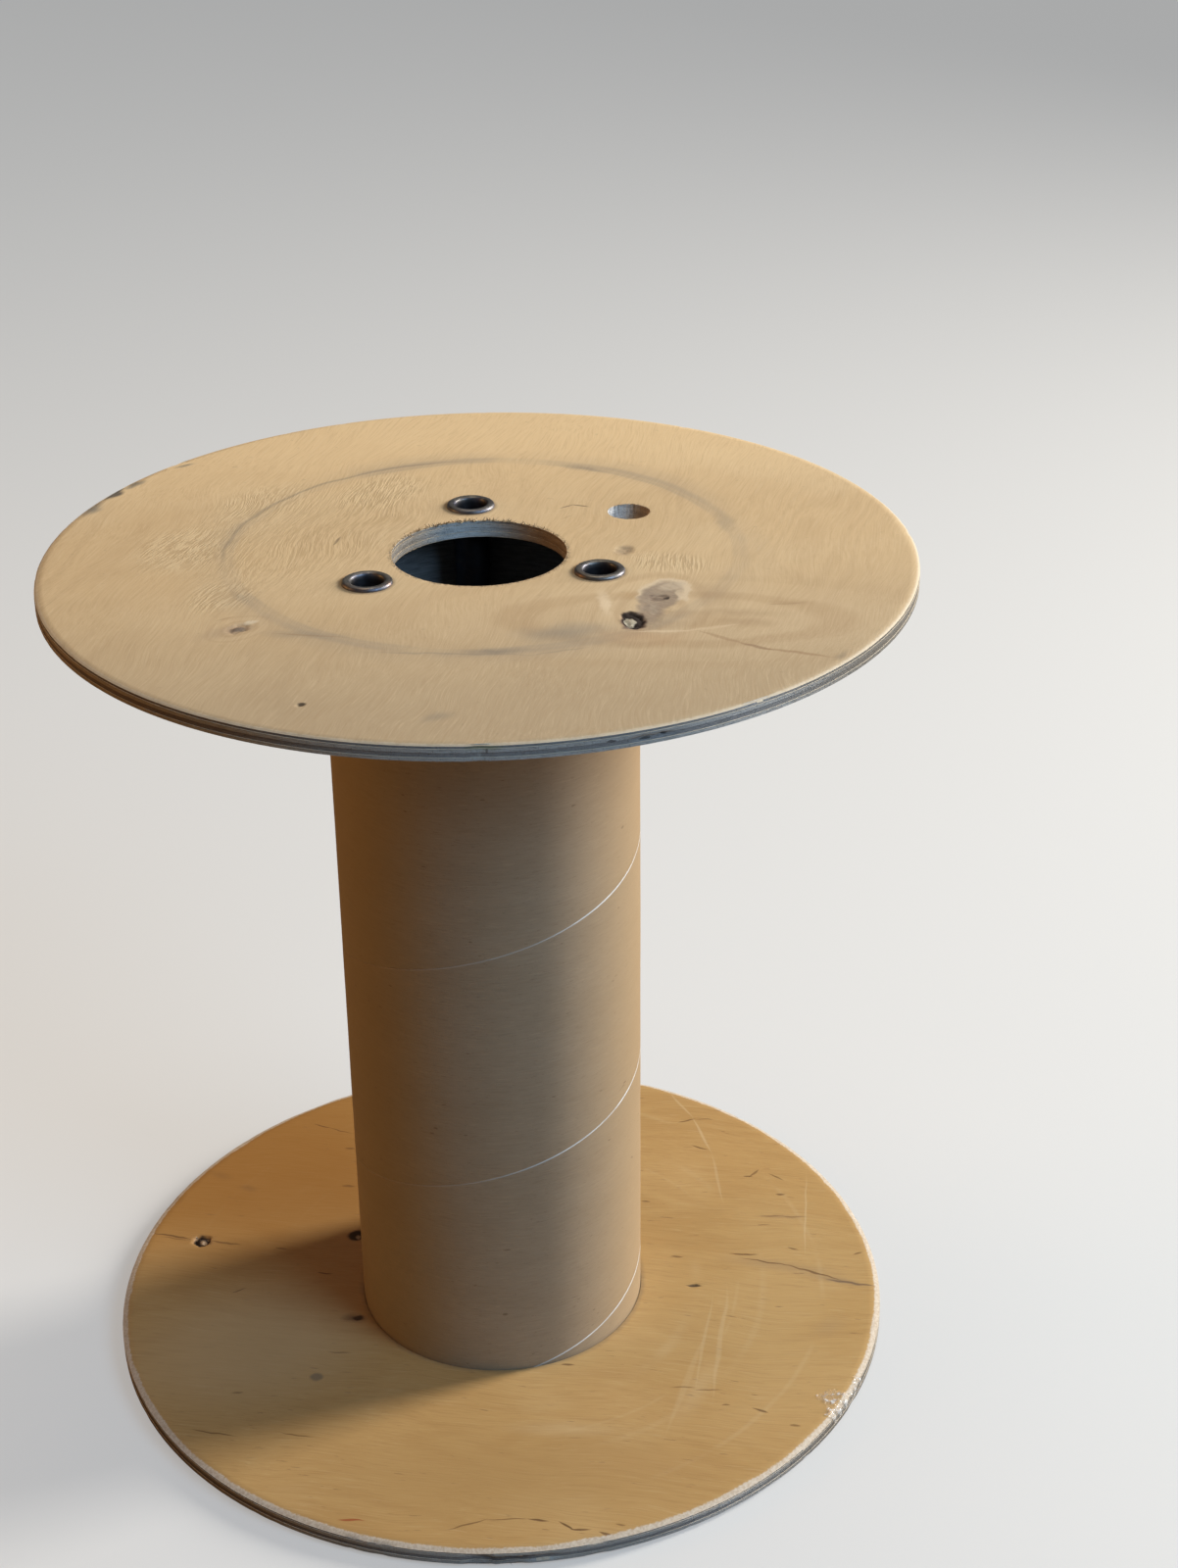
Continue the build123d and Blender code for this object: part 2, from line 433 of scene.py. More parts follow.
def makeUpperVeneer():
    values = upperVeneer
    material, shader, point = startMaterial("upperVeneer", values["roughness"])
    # The grain is pushed aside by the knots, so the figure flows round them
    grain = useGrain(wander(point, 0.012, 16), values["grainTurn"], 31, 26)
    dirt = useGrime(point, 1.6)
    # Painted shade greys the front of the face and painted light makes its back paler, with ragged edges from cloud
    # noise
    away = timesPlus(dirt["Clouds"], 60, splitPoint(point)[1])
    colour = paintCoats(
        values["base"],
        (fade(grain["Figure"], 0.3, 0.52, 0, 0.3), values["tan"]),
        (fade(dirt["Clouds"], 0.42, 0.66, 0, 0.5), values["cream"]),
        (fade(away, 40, -165, 0, 0.8), values["paintedFrontShade"]),
        (fade(away, 75, 190, 0, 0.65), values["paintedBackLight"]),
        (fade(grain["Fibre"], 0.48, 0.68, 0, 0.23), values["fibreDark"]),
        (fade(grain["Fibre"], 0.46, 0.34, 0, 0.22), values["fibrePale"]))
    # Growth rings that sweep round the pair of knots and the small left one
    ragged = wander(point, 0.035, 7)
    for *place, count, strength in values["growths"]:
        reach = ovalReach(ragged, *place)
        wave = fade(reckon("SINE", times(reach, count)), -0.1, 1)
        colour = paintCoats(
            colour,
            (times(wave, fade(reach, 2.7, 1.1, 0, strength)), values["growthDark"]),
            (times(minus(1, wave), fade(reach, 2.2, 1, 0, strength * 0.6)), values["growthPale"]))
    # Torn, rippled areas: their dark troughs and pale ridges are painted shade and painted light of the raised fibres,
    # along with the bump
    rough = 0
    for *place, strength in values["roughAreas"]:
        rough = reckon("MAXIMUM", rough, fade(ovalReach(ragged, *place), 1.25, 0.55, 0, strength))
    rough = timesPlus(rough, 0.85, 0.15)
    ripple = times(grain["Ripple"], rough)
    ridge = times(minus(1, grain["Ripple"]), rough)
    colour = paintCoats(
        colour, (times(ripple, 0.42), values["rippleShade"]), (times(ridge, 0.34), values["rippleLight"]))
    # Dirt ring left by something round that stood on the drum
    uneven = wander(point, 0.02, 7)
    broken = fade(clouds(point, 0.017, 3), 0.38, 0.62, 0.3, 1)
    for radius, width, strength in values["dirtRings"]:
        ring = useRing(uneven, radius, width, *values["ringCentre"])
        colour = blend(times(times(ring, broken), strength), colour, values["ringDirt"])
    # On the far left the ring's own line is still sharp
    farLeft = fade(dotProduct(point, (-0.7, 0.7, 0)), 76, 102, 0, 0.52)
    line = useRing(ragged, 119.2, 1.7, *values["ringCentre"])
    colour = blend(times(line, farLeft), colour, values["ringLine"])
    colour = paintOvals(wander(point, 0.07, 8), colour, upperOvals)
    colour = paintOvals(wander(point, 0.16, 6, 3), colour, upperKnots)
    colour = paintStrokes(wander(point, 0.12, 2.6), colour, upperStrokes, stainBrown)
    # Dark ring round each rolled tube end: partly rubbed dirt where it presses on the wood, partly painted shade, set
    # a little to the left like the tube's shadow
    smudged = wander(point, 0.3, 1)
    for tubeX, tubeY in tubePlaces:
        colour = blend(times(useRing(smudged, 11.6, 2.4, tubeX - 0.6, tubeY - 0.2), 0.6), colour, values["tubeRubAndShade"])
    # Worn bevel, and painted shade among the torn fibres of the frayed lip of the bore
    frayed = wander(point, 0.5, 1.8, 3)
    torn = fade(clouds(point, (1.5, 0.55, 0.55)), 0.48, 0.56, 0.12, 0.85)
    colour = paintCoats(
        colour,
        (times(useRing(frayed, 199.9, 2.2), 0.75), values["bevel"]),
        (times(useRing(frayed, 40.2, 2.3), torn), values["boreLipShade"]),
        (times(dirt["Specks"], 0.22), values["speck"]))
    feed(shader, {
        "Base Color": colour,
        "Roughness": plus(fade(grain["Fibre"], 0.3, 0.7, 0.56, 0.72), dulled(colour)),
        "Normal": relief(timesPlus(ripple, -0.085, times(grain["Fibre"], 0.045))),
        "Specular IOR Level": 0.35})
    return material


# Upper side of the lower flange: smooth and golden, with flecks, hairline cracks and a pale bevel
rubPale = (0.66, 0.49, 0.28)
lowerVeneer = {
    "base": (0.5, 0.3, 0.112),
    "light": (0.56, 0.36, 0.152),
    "dark": (0.405, 0.222, 0.074),
    # painted warm light towards the back left
    "paintedWarmGold": (0.34, 0.15, 0.026),
    "fibreDark": (0.33, 0.175, 0.06),
    "coreFootDark": (0.22, 0.15, 0.09),
    "bevelPale": (0.68, 0.58, 0.465),
    "bevelDark": (0.53, 0.415, 0.3),
    "grainTurn": -14,
    "roughness": 0.48,
    # radius, half width, strength of the arcs rubbed by the cable
    "cableArcs": ((104, 5, 0.16), (125, 1.4, 0.2), (139, 3, 0.12), (170, 2, 0.16)),
}
crackBrown = (0.12, 0.052, 0.016)
fleckBrown = (0.2, 0.105, 0.045)
lowerOvals = (
    # painted light: a paler, greyer patch across the core's shadow on the left, for the cooler light there
    (-132, -36, 88, 66, 15, 0.75, (0.6, 0.415, 0.215), 0.55),
    (-10, -150, 110, 46, -4, 1, (0.43, 0.252, 0.092), 0.55),
    (150, -8, 46, 7, -20, 1, (0.36, 0.23, 0.12), 0.45),
    (176, -23, 22, 4, -24, 1, (0.27, 0.18, 0.11), 0.5),
    (157, 35, 18, 2.4, -8, 0.9, (0.33, 0.2, 0.1), 0.45),
    (-99.5, -67.3, 4.6, 3.8, 10, 0.5, (0.2, 0.15, 0.1), 0.7),
    (-79, -23.5, 9, 5, -8, 0.9, (0.16, 0.09, 0.045), 0.75),
    (-77.5, -23.5, 3.6, 3, 0, 0.5, knotDark, 0.8),
    (-136, 97, 8, 4, -20, 1, fleckBrown, 0.4),
    (-151, 111, 10, 5, -30, 1, fleckBrown, 0.3),
    (60, -150, 46, 16, -10, 1, (0.46, 0.265, 0.1), 0.4),
    (20, -120, 40, 8, -8, 1, rubPale, 0.25),
    (90, -100, 34, 9, 60, 1, rubPale, 0.25),
    (165, -60, 18, 10, 40, 1, (0.4, 0.26, 0.13), 0.3),
    (-160.5, 52, 11, 6.4, -20, 0.9, (0.36, 0.2, 0.09), 0.6),
    (-160.5, 52, 5, 4.7, 0, 0.25, knotDark, 0.97),
    (-159.4, 50.8, 2.6, 2, 15, 0.7, (0.46, 0.3, 0.17), 0.9),
    (-77, 46.6, 5.6, 6, -10, 0.4, knotDark, 0.95),
    (-76, 45, 1.8, 2.6, 0, 0.6, (0.4, 0.27, 0.15), 0.8),
)
lowerStrokes = (
    (-188, 62.6, -165, 53.6, 0.9, 0.75),
    (-184, 58.5, -166, 53, 0.6, 0.5),
    (-156, 51.4, -139, 45.6, 1.1, 0.6),
    (-99, 155.6, -89, 150, 0.6, 0.75),
    (-90.5, 150.6, -76, 142.4, 0.5, 0.65),
    (-81, 128.8, -76, 127.8, 1, 0.6),
    (-83, 93.2, -77, 91.6, 1.3, 0.55),
    (-120, 40.9, -114, 38.8, 0.8, 0.6),
    (-98, 16.6, -90, 15, 0.6, 0.7),
    (-143, 5, -136, 8, 0.6, 0.55),
    (-94, -48.9, -81, -51, 0.5, 0.6),
    (-142, -74.2, -136, -75, 0.7, 0.6),
    (-162, -98.5, -137.6, -106.9, 0.6, 0.7),
    (-118, -105.9, -100, -112, 0.5, 0.65),
    (-90.5, -169.6, -78.5, -170.9, 0.9, 0.85, (0.33, 0.07, 0.02)),
    (-41, -182, -20, -177.4, 0.7, 0.65),
    (-22, -177.7, 0, -179.4, 0.5, 0.55),
    (-2, -179.2, 7.5, -182.2, 0.8, 0.85),
    (12.6, -182.8, 18.4, -188.5, 0.9, 0.9),
    (17, -188.2, 26, -189.6, 0.8, 0.9),
    (30, -192, 36, -194.4, 0.9, 0.75),
    (24.5, -72.6, 30.5, -73.6, 0.9, 0.75),
    (113, 131, 123, 133.8, 0.8, 0.7),
    (122, 133.6, 134, 131.3, 0.5, 0.6),
    (117, 107.5, 126, 101.6, 0.8, 0.75),
    (142.5, 74.2, 147, 73.4, 0.7, 0.7),
    (145, 73, 151.5, 79.5, 0.8, 0.6),
    (156.5, 75.4, 163.5, 68, 0.7, 0.6),
    (157.5, 55.4, 162, 55, 1, 0.75),
    (82, 58.2, 86.5, 57.2, 0.8, 0.6),
    (144, 36.6, 158, 36, 0.9, 0.5, fleckBrown),
    (156, 35.4, 170, 33.2, 0.8, 0.45, fleckBrown),
    (123, 6, 139, 3.4, 0.9, 0.8),
    (128, 1.8, 156, -8.4, 0.7, 0.7),
    (150, -6, 180, -24.2, 0.9, 0.7),
    (170, -21.4, 196, -31, 1.2, 0.8, (0.16, 0.1, 0.06)),
    (155, 7.8, 160.5, 4.4, 0.7, 0.65),
    (189.5, -2.8, 194, -1.2, 0.8, 0.65),
    (97, -18, 103.4, -18.8, 1.3, 0.85, knotDark),
    (92, 7.4, 97.6, 6.8, 1, 0.65),
    (77, -96.2, 90, -98, 0.7, 0.5),
    (88, -99.4, 102.5, -101.6, 0.6, 0.55),
    (115.5, -116.2, 121.8, -120.6, 0.9, 0.75),
    (101, -112.4, 104.8, -113, 0.7, 0.65),
    (131.5, -131, 136, -132.2, 1, 0.55),
    (38.5, -188, 42.5, -188.6, 0.8, 0.55),
)
lowerRubs = (
    (112, 164, 123, 134, 0.8, 0.4),
    (122, 136, 127, 98, 0.9, 0.45),
    (126.6, 100, 126.8, 50, 1, 0.3),
    (178, 76, 162.4, -4, 0.7, 0.4),
    (118, -20, 96, -110, 1.6, 0.28),
    (110, -24, 88, -104, 1, 0.26),
    (100, -60, 70, -130, 2.2, 0.18),
)


def makeLowerVeneer():
    values = lowerVeneer
    material, shader, point = startMaterial("lowerVeneer", values["roughness"])
    grain = useGrain(wander(point, 0.01, 12), values["grainTurn"], 7, 20)
    dirt = useGrime(point, 2.2)
    part = splitPoint(point)
    # Painted warm light: deeper and more orange towards the back on the far left
    paintedWarmGold = times(fade(part[0], 20, -90), fade(part[1], -10, 90, 0, 0.72))
    colour = paintCoats(
        values["base"],
        (fade(grain["Figure"], 0.3, 0.54, 0, 0.3), values["dark"]),
        (fade(dirt["Clouds"], 0.44, 0.66, 0, 0.5), values["light"]),
        (fade(grain["Fibre"], 0.5, 0.68, 0, 0.3), values["fibreDark"]),
        (fade(grain["Fibre"], 0.44, 0.32, 0, 0.22), rubPale),
        (paintedWarmGold, values["paintedWarmGold"]))
    # Faint rubbed arcs from the turns of cable that lay against the flange
    rubbed = times(fade(clouds(point, 0.02, 3), 0.46, 0.64), fade(part[0], -20, 90, 0.15, 1))
    uneven = wander(point, 0.02, 4)
    for radius, width, strength in values["cableArcs"]:
        colour = blend(times(useRing(uneven, radius, width), times(rubbed, strength)), colour, rubPale)
    colour = paintStrokes(wander(point, 0.03, 5), colour, lowerRubs, rubPale)
    colour = blend(times(grain["Fleck"], 0.55), colour, fleckBrown)
    colour = paintOvals(wander(point, 0.12, 3.5, 3), colour, lowerOvals)
    colour = paintStrokes(wander(point, 0.14, 2.2), colour, lowerStrokes, crackBrown)
    # Darker grey line round the foot of the core, and the pale fuzzy bevel
    foot = useRing(wander(point, 0.2, 2), 73, 4)
    band = fade(useRing(wander(wander(point, 0.05, 2), 0.7, 2, 3), 201.5, 5.8), 0.06, 0.26)
    fibres = fade(clouds(point, 0.8, 4, 0.6), 0.35, 0.68)
    colour = paintCoats(
        colour,
        (times(foot, 0.5), values["coreFootDark"]),
        (times(band, 0.95), blend(fibres, values["bevelPale"], values["bevelDark"])))
    rough = plus(fade(grain["Fibre"], 0.3, 0.7, 0.42, 0.56), dulled(colour))
    feed(shader, {
        "Base Color": colour,
        "Roughness": timesPlus(band, 0.25, rough),
        "Normal": relief(timesPlus(grain["Fleck"], -0.06, times(grain["Fibre"], 0.035))),
        "Specular IOR Level": 0.45})
    return material


# Sides that the photograph doesn't show: the undersides of both flanges
plainVeneer = {
    "base": (0.615, 0.425, 0.225),
    "dark": (0.47, 0.295, 0.14),
    "light": (0.7, 0.52, 0.31),
    "fibreDark": (0.4, 0.24, 0.11),
    "bevel": (0.68, 0.56, 0.42),
    "roughness": 0.6,
}


def makePlainVeneer(name, turn, seed, rings):
    values = plainVeneer
    material, shader, point = startMaterial(name, values["roughness"])
    grain = useGrain(wander(point, 0.011, 14), turn, seed, 24)
    dirt = useGrime(point, 1.8)
    colour = paintCoats(
        values["base"],
        (fade(grain["Figure"], 0.3, 0.54, 0, 0.5), values["dark"]),
        (fade(dirt["Clouds"], 0.44, 0.66, 0, 0.5), values["light"]),
        (fade(grain["Fibre"], 0.5, 0.68, 0, 0.3), values["fibreDark"]),
        (times(grain["Fleck"], 0.6), fleckBrown))
    ragged = wander(point, 0.02, 5)
    broken = fade(clouds(point, 0.02, 3), 0.4, 0.64, 0.15, 1)
    for radius, width, paint, strength in rings:
        colour = blend(times(useRing(ragged, radius, width), times(broken, strength)), colour, paint)
    band = useRing(wander(point, 0.6, 2, 4), 201, 4.2)
    colour = blend(fade(band, 0.1, 0.5, 0, 0.85), colour, values["bevel"])
    feed(shader, {
        "Base Color": colour,
        "Normal": relief(timesPlus(grain["Ripple"], -0.06, times(grain["Fibre"], 0.08)))})
    return material


# Cut edge of the plywood: light long plies, dark cross plies, greyed by weathering except on the left, where the brown
# is kept as painted warm light
plyEdge = {
    "long": (0.43, 0.285, 0.135),
    "cross": (0.175, 0.098, 0.042),
    "greyLong": (0.5, 0.505, 0.5),
    "greyCross": (0.235, 0.24, 0.25),
    # painted shade and painted light on the walls of the holes
    "holeShadeBrown": (0.52, 0.33, 0.18),
    "holeFarLeftShade": (0.15, 0.13, 0.1),
    "holeLitPale": (0.82, 0.85, 0.87),
    "fibreDark": (0.165, 0.15, 0.14),
    "fibrePale": (0.56, 0.545, 0.5),
    "pore": (0.08, 0.065, 0.055),
    "darkTowardsRight": (0.15, 0.122, 0.09),
    "face": (0.64, 0.56, 0.45),
    "roughness": 0.78,
    # where the brown of painted warm light gives way to weathered grey
    "brownFrom": -110,
    "brownTo": 5,
    "boreRadius": 110,  # nearer the axis than this the cut wood is a hole's wall, less weathered
}
plyLines = ((0, 0.5, 0), (0.5, 1.7, 0.2), (1.7, 3.4, 0.02), (3.4, 5.4, 0.22), (5.4, 7.4, 0), (7.4, 8, 0.15))


# How much of the surface is cross ply, its fibres, and how grey it is, below the height Top
def makePlyLayers():
    tree, entry, leave = beginGroup(
        "plyLayers", {"Point": None, "Top": 0}, ("Cross", "Fibre", "Pores", "Depth"))
    point = entry["Point"]
    depth = minus(entry["Top"], splitPoint(point)[2])
    depth = timesPlus(minus(clouds(point, (0.12, 0.12, 0), 3), 0.5), 0.7, depth)
    cross = 0
    for start, end, back in plyLines:
        if back > 0.1:
            inside = times(fade(depth, start - 0.12, start + 0.12), fade(depth, end + 0.12, end - 0.12))
            cross = reckon("MAXIMUM", cross, inside)
    feed(leave, {
        "Cross": cross,
        "Fibre": clouds(point, (0.22, 0.22, 3.2), 5, 0.65),
        "Pores": fade(clouds(point, (1.4, 1.4, 2), 3, 0.6), 0.52, 0.66),
        "Depth": depth})
    return tree


plyLayers = makePlyLayers()


# Stain marks and painted shade on the edge are given by their place along the rim, counted from +X, and their height
def makePlyEdge(name, top, edgeMarks):
    values = plyEdge
    material, shader, point = startMaterial(name, values["roughness"])
    layers = useGroup(plyLayers, {"Point": point, "Top": top})
    dirt = useGrime(point, 0.7)
    part = splitPoint(point)
    fresh = blend(layers["Cross"], values["long"], values["cross"])
    grey = blend(times(layers["Cross"], 0.8), values["greyLong"], values["greyCross"])
    # Share of weathered grey; towards -X the brown is kept as painted warm light
    greyShare = fade(timesPlus(dirt["Clouds"], 60, part[0]), values["brownFrom"], values["brownTo"], 0.12, 0.92)
    # Painted light and shade on the walls of the holes: pale painted light on the walls on the left, which face the
    # light, painted shade at the far left of the bore, and brown painted shade on the walls on the right
    cableHoleLitShare = times(reckon("GREATER_THAN", part[0], 60), fade(part[0], 70, 81, 0.85, 0))
    holeLitShare = reckon("MAXIMUM", fade(part[0], -4, 34, 0.85, 0.05), cableHoleLitShare)
    inHole = reckon("LESS_THAN", fromAxis(part), values["boreRadius"])
    greyShare = addNode("ShaderNodeMix", None, {0: inHole, 2: greyShare, 3: holeLitShare}).outputs[0]
    holeLitTone = blend(fade(part[0], -30, -6), values["holeFarLeftShade"], values["holeLitPale"])
    colour = paintCoats(
        blend(greyShare, fresh, grey),
        (times(inHole, 0.74), blend(holeLitShare, values["holeShadeBrown"], holeLitTone)),
        (fade(layers["Fibre"], 0.46, 0.66, 0, 0.4), values["fibreDark"]),
        (fade(layers["Fibre"], 0.44, 0.32, 0, 0.35), values["fibrePale"]),
        (times(layers["Pores"], 0.3), values["pore"]),
        # darker towards +X
        (fade(part[0], 85, 160, 0, 0.8), values["darkTowardsRight"]),
        (fade(layers["Depth"], 0.55, 0.15, 0, 0.75), values["face"]))
    arc = times(reckon("ARCTAN2", part[1], part[0]), flangeReach)
    unrolled = joinPoint({0: arc, 1: part[2]})
    colour = paintOvals(wander(unrolled, 0.5, 1.2, 3), colour, edgeMarks)
    feed(shader, {
        "Base Color": colour,
        "Normal": relief(timesPlus(layers["Pores"], -0.15, times(layers["Fibre"], 0.3))),
        "Specular IOR Level": 0.25})
    return material


# Brown kraft board, wound in a spiral with a pale butt seam
coreBoard = {
    "base": (0.362, 0.266, 0.176),
    "light": (0.404, 0.303, 0.206),
    "dark": (0.285, 0.2, 0.124),
    # painted warm light towards both sides
    "left": (0.37, 0.235, 0.075),
    "right": (0.4, 0.265, 0.13),
    "fibrePale": (0.52, 0.39, 0.25),
    "dash": (0.2, 0.13, 0.08),
    "bit": (0.15, 0.09, 0.045),
    "seam": (0.74, 0.745, 0.73),
    "foot": (0.27, 0.19, 0.12),
    "inside": (0.19, 0.195, 0.2),
    "pitch": 123.3,
    "seamHeight": 37.5,  # where the seam crosses the +X side for the first time above the floor
    "roughness": 0.6,
}


def makeCoreBoard():
    values = coreBoard
    material, shader, point = startMaterial("coreBoard", values["roughness"])
    part = splitPoint(point)
    # Height above the seam, so that everything follows the winding
    rise = timesPlus(reckon("ARCTAN2", part[1], part[0]), -values["pitch"] / math.tau, part[2])
    offSeam = reckon("PINGPONG", minus(rise, values["seamHeight"]), values["pitch"] / 2)
    fibres = clouds(point, (0.1, 0.1, 1.15), 5, 0.7)
    dashes = clouds(point, (0.3, 0.3, 1.9), 2, 0.6)
    mottle = clouds(point, (0.02, 0.02, 0.05), 3)
    bits = fade(clouds(point, (0.16, 0.16, 0.5), 1), 0.76, 0.8)
    # The seam is broken and thins out here and there; painted shade fades it out towards -X
    seamShow = fade(clouds(point, (0.035, 0.035, 0.02), 3, 0.6), 0.3, 0.6, 0.45, 1)
    seamShow = times(seamShow, fade(part[0], -45, 50, 0.08, 0.9))
    colour = paintCoats(
        blend(fade(mottle, 0.34, 0.66, 0, 0.45), values["base"], values["light"]),
        (fade(fibres, 0.5, 0.68, 0, 0.38), values["dark"]),
        (fade(fibres, 0.46, 0.32, 0, 0.28), values["fibrePale"]),
        (fade(dashes, 0.62, 0.72, 0, 0.45), values["dash"]),
        # Browner, more orange towards both sides: painted warm light
        (fade(part[0], 25, 72, 0, 0.6), values["right"]),
        (fade(part[0], -20, -68, 0, 0.6), values["left"]),
        (times(bits, 0.55), values["bit"]),
        (times(fade(offSeam, 0.65, 0.22), seamShow), values["seam"]),
        # Darker foot where the board meets the lower flange
        (fade(part[2], lowerFace + 3, lowerFace, 0, 0.35), values["foot"]))
    feed(shader, {
        "Base Color": colour, "Normal": relief(times(fibres, 0.1)), "Specular IOR Level": 0.4})
    return material


# Inside of the core: the same board, in a dark grey
def makeCoreInside():
    material, shader, point = startMaterial("coreInside", 0.9)
    fibres = clouds(point, (0.1, 0.1, 1.15), 4, 0.65)
    base = coreBoard["inside"]
    feed(shader, {
        "Base Color": blend(fade(fibres, 0.35, 0.65), base, tuple(0.6 * part for part in base)),
        "Normal": relief(times(fibres, 0.1))})
    return material


# Dark drawn steel, lighter on the crest of each rolled end (partly rubbed steel, partly a painted highlight), with
# painted shade down in the bore and faint blue and violet tints
tieSteel = {
    "base": (0.175, 0.165, 0.158),
    "dark": (0.062, 0.058, 0.06),
    # rubbed steel and a painted highlight on the crests
    "crestRubAndHighlight": (0.43, 0.405, 0.38),
    "blue": (0.2, 0.215, 0.33),
    "warm": (0.33, 0.21, 0.15),
    # painted shade down in the bore and at the foot of the roll
    "recessShade": (0.04, 0.037, 0.042),
    "roughness": (0.38, 0.56),
}


def makeTieSteel():
    values = tieSteel
    material, shader, point = startMaterial("tieSteel", values["roughness"][0], 1)
    dirt = useGrime(point, 0.14)
    streaks = clouds(point, (0.9, 0.9, 2.5), 4, 0.6)
    height = splitPoint(point)[2]
    blue = fade(clouds(point, 0.11), 0.46, 0.62)
    warm = fade(clouds(point, (0.13, 0.13, 0.2)), 0.56, 0.7)
    # Lighter on both crests, partly rubbed steel and partly a painted highlight; painted shade darkens the bore and
    # the foot of the roll
    toCrest = reckon("MINIMUM", reckon("ABSOLUTE", minus(height, crest)), reckon("ABSOLUTE", height))
    rubbed = fade(timesPlus(dirt["Clouds"], 0.5, toCrest), 0.62, 0.22)
    colour = paintCoats(
        values["base"],
        (fade(dirt["Clouds"], 0.36, 0.64, 0, 0.75), values["dark"]),
        (times(blue, 0.26), values["blue"]),
        (times(warm, 0.45), values["warm"]),
        (times(rubbed, 0.45), values["crestRubAndHighlight"]),
        (fade(toCrest, 0.9, 3.5, 0, 0.85), values["recessShade"]))
    feed(shader, {
        "Base Color": colour,
        "Roughness": fade(streaks, 0.3, 0.7, *values["roughness"]),
        "Normal": relief(times(streaks, 0.03))})
    return material


# Clear film, whiter along its creases: partly creased film gone cloudy, partly painted glints
tapeFilm = {"clear": (0.8, 0.72, 0.6), "milkyAndGlint": (0.96, 0.95, 0.93), "alpha": (0.05, 0.5), "roughness": 0.12}


def makeTapeFilm():
    values = tapeFilm
    material, shader, point = startMaterial("tapeFilm", values["roughness"])
    crease = clouds(point, 0.28, 3, 0.6)
    feed(shader, {
        "Alpha": fade(crease, 0.5, 0.68, *values["alpha"]),
        "Base Color": blend(fade(crease, 0.4, 0.65), values["clear"], values["milkyAndGlint"]),
        "Specular IOR Level": 1,
        "Coat Weight": 1,
        "Coat Roughness": 0.05})
    return material


materials = {
    "upper": makeUpperVeneer(),
    "lower": makeLowerVeneer(),
    "upperUnder": makePlainVeneer("upperUnderside", -14, 57, (
        (106, 6, rubPale, 0.5), (128, 4, rubPale, 0.5), (150, 5, rubPale, 0.4))),
    "lowerUnder": makePlainVeneer("lowerUnderside", 71, 83, (
        (118, 6, (0.33, 0.25, 0.17), 0.5), (165, 9, (0.36, 0.27, 0.18), 0.4))),
    "upperEdge": makePlyEdge("upperPlyEdge", upperFace, (
        (-326, 422.9, 11, 1.5, 0, 0.8, (0.23, 0.245, 0.08), 0.55),
        (-328, 420.2, 1.1, 2.6, 0, 0.7, (0.42, 0.44, 0.43), 0.5),
        (-325, 421.5, 0.8, 1.6, 0, 0.6, (0.08, 0.06, 0.05), 0.6),
        (-276, 421, 2.6, 0.8, 0, 0.5, (0.05, 0.045, 0.045), 0.75),
        (-262, 419.9, 3.4, 0.8, 0, 0.5, (0.05, 0.045, 0.04), 0.8),
        (-254, 420.8, 1.9, 0.9, 0, 0.5, (0.04, 0.036, 0.036), 0.85))),
    "lowerEdge": makePlyEdge("lowerPlyEdge", lowerFace, (
        # painted shade along the left front of the lower edge
        (-540, 5.8, 120, 14, 0, 1, (0.11, 0.085, 0.065), 0.7),
        (-328, 5.4, 17, 2.6, 0, 0.7, (0.115, 0.11, 0.112), 0.7),
        (-340, 4.6, 4, 1, 0, 0.7, (0.34, 0.33, 0.31), 0.6),
        (-318, 6.6, 5, 0.9, 0, 0.6, (0.06, 0.05, 0.048), 0.8))),
    "board": makeCoreBoard(),
    "boardInside": makeCoreInside(),
    "steel": makeTieSteel(),
    "film": makeTapeFilm(),
}
print("materials made")


# Turns a section of corners (radius, height, cuts of the run to the next corner) round the axis
def turnSection(corners, segments):
    work = bmesh.new()
    points = [work.verts.new((radius, 0, height)) for radius, height, cuts in corners]
    runs = [work.edges.new(pair) for pair in zip(points, points[1:] + points[:1])]
    for run, corner in zip(runs, corners):
        if corner[2]:
            bmesh.ops.subdivide_edges(work, edges=[run], cuts=corner[2])
    bmesh.ops.spin(work, geom=work.verts[:] + work.edges[:], axis=(0, 0, 1), cent=(0, 0, 0),
                   angle=math.tau, steps=segments, use_merge=True)
    bmesh.ops.remove_doubles(work, verts=work.verts[:], dist=0.0004)
    bmesh.ops.recalc_face_normals(work, faces=work.faces[:])
    return work


def toObject(name, work):
    mesh = bpy.data.meshes.new(name)
    work.to_mesh(mesh)
    work.free()
    piece = bpy.data.objects.new(name, mesh)
    scene.collection.objects.link(piece)
    return piece


def finishPiece(name, work, finishes, node=None, sharp=38):
    for face in work.faces:
        face.smooth = True
    for edge in work.edges:
        if len(edge.link_faces) == 2:
            edge.smooth = edge.calc_face_angle(0) < math.radians(sharp)
    bmesh.ops.scale(work, vec=(metre, metre, metre), verts=work.verts[:])
    piece = toObject(name, work)
    for finish in finishes:
        piece.data.materials.append(materials[finish])
    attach(piece, "root")
    if node:
        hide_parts(node)
    print(name, len(piece.data.polygons), "faces")


def polar(reach, angle, height, x=0, y=0):
    return Vector((x + reach * math.cos(angle), y + reach * math.sin(angle), height))


def push(vert, amount, x=0, y=0):  # away from an upright axis
    offX, offY = vert.co.x - x, vert.co.y - y
    reach = math.hypot(offX, offY)
    vert.co.x += offX / reach * amount
    vert.co.y += offY / reach * amount


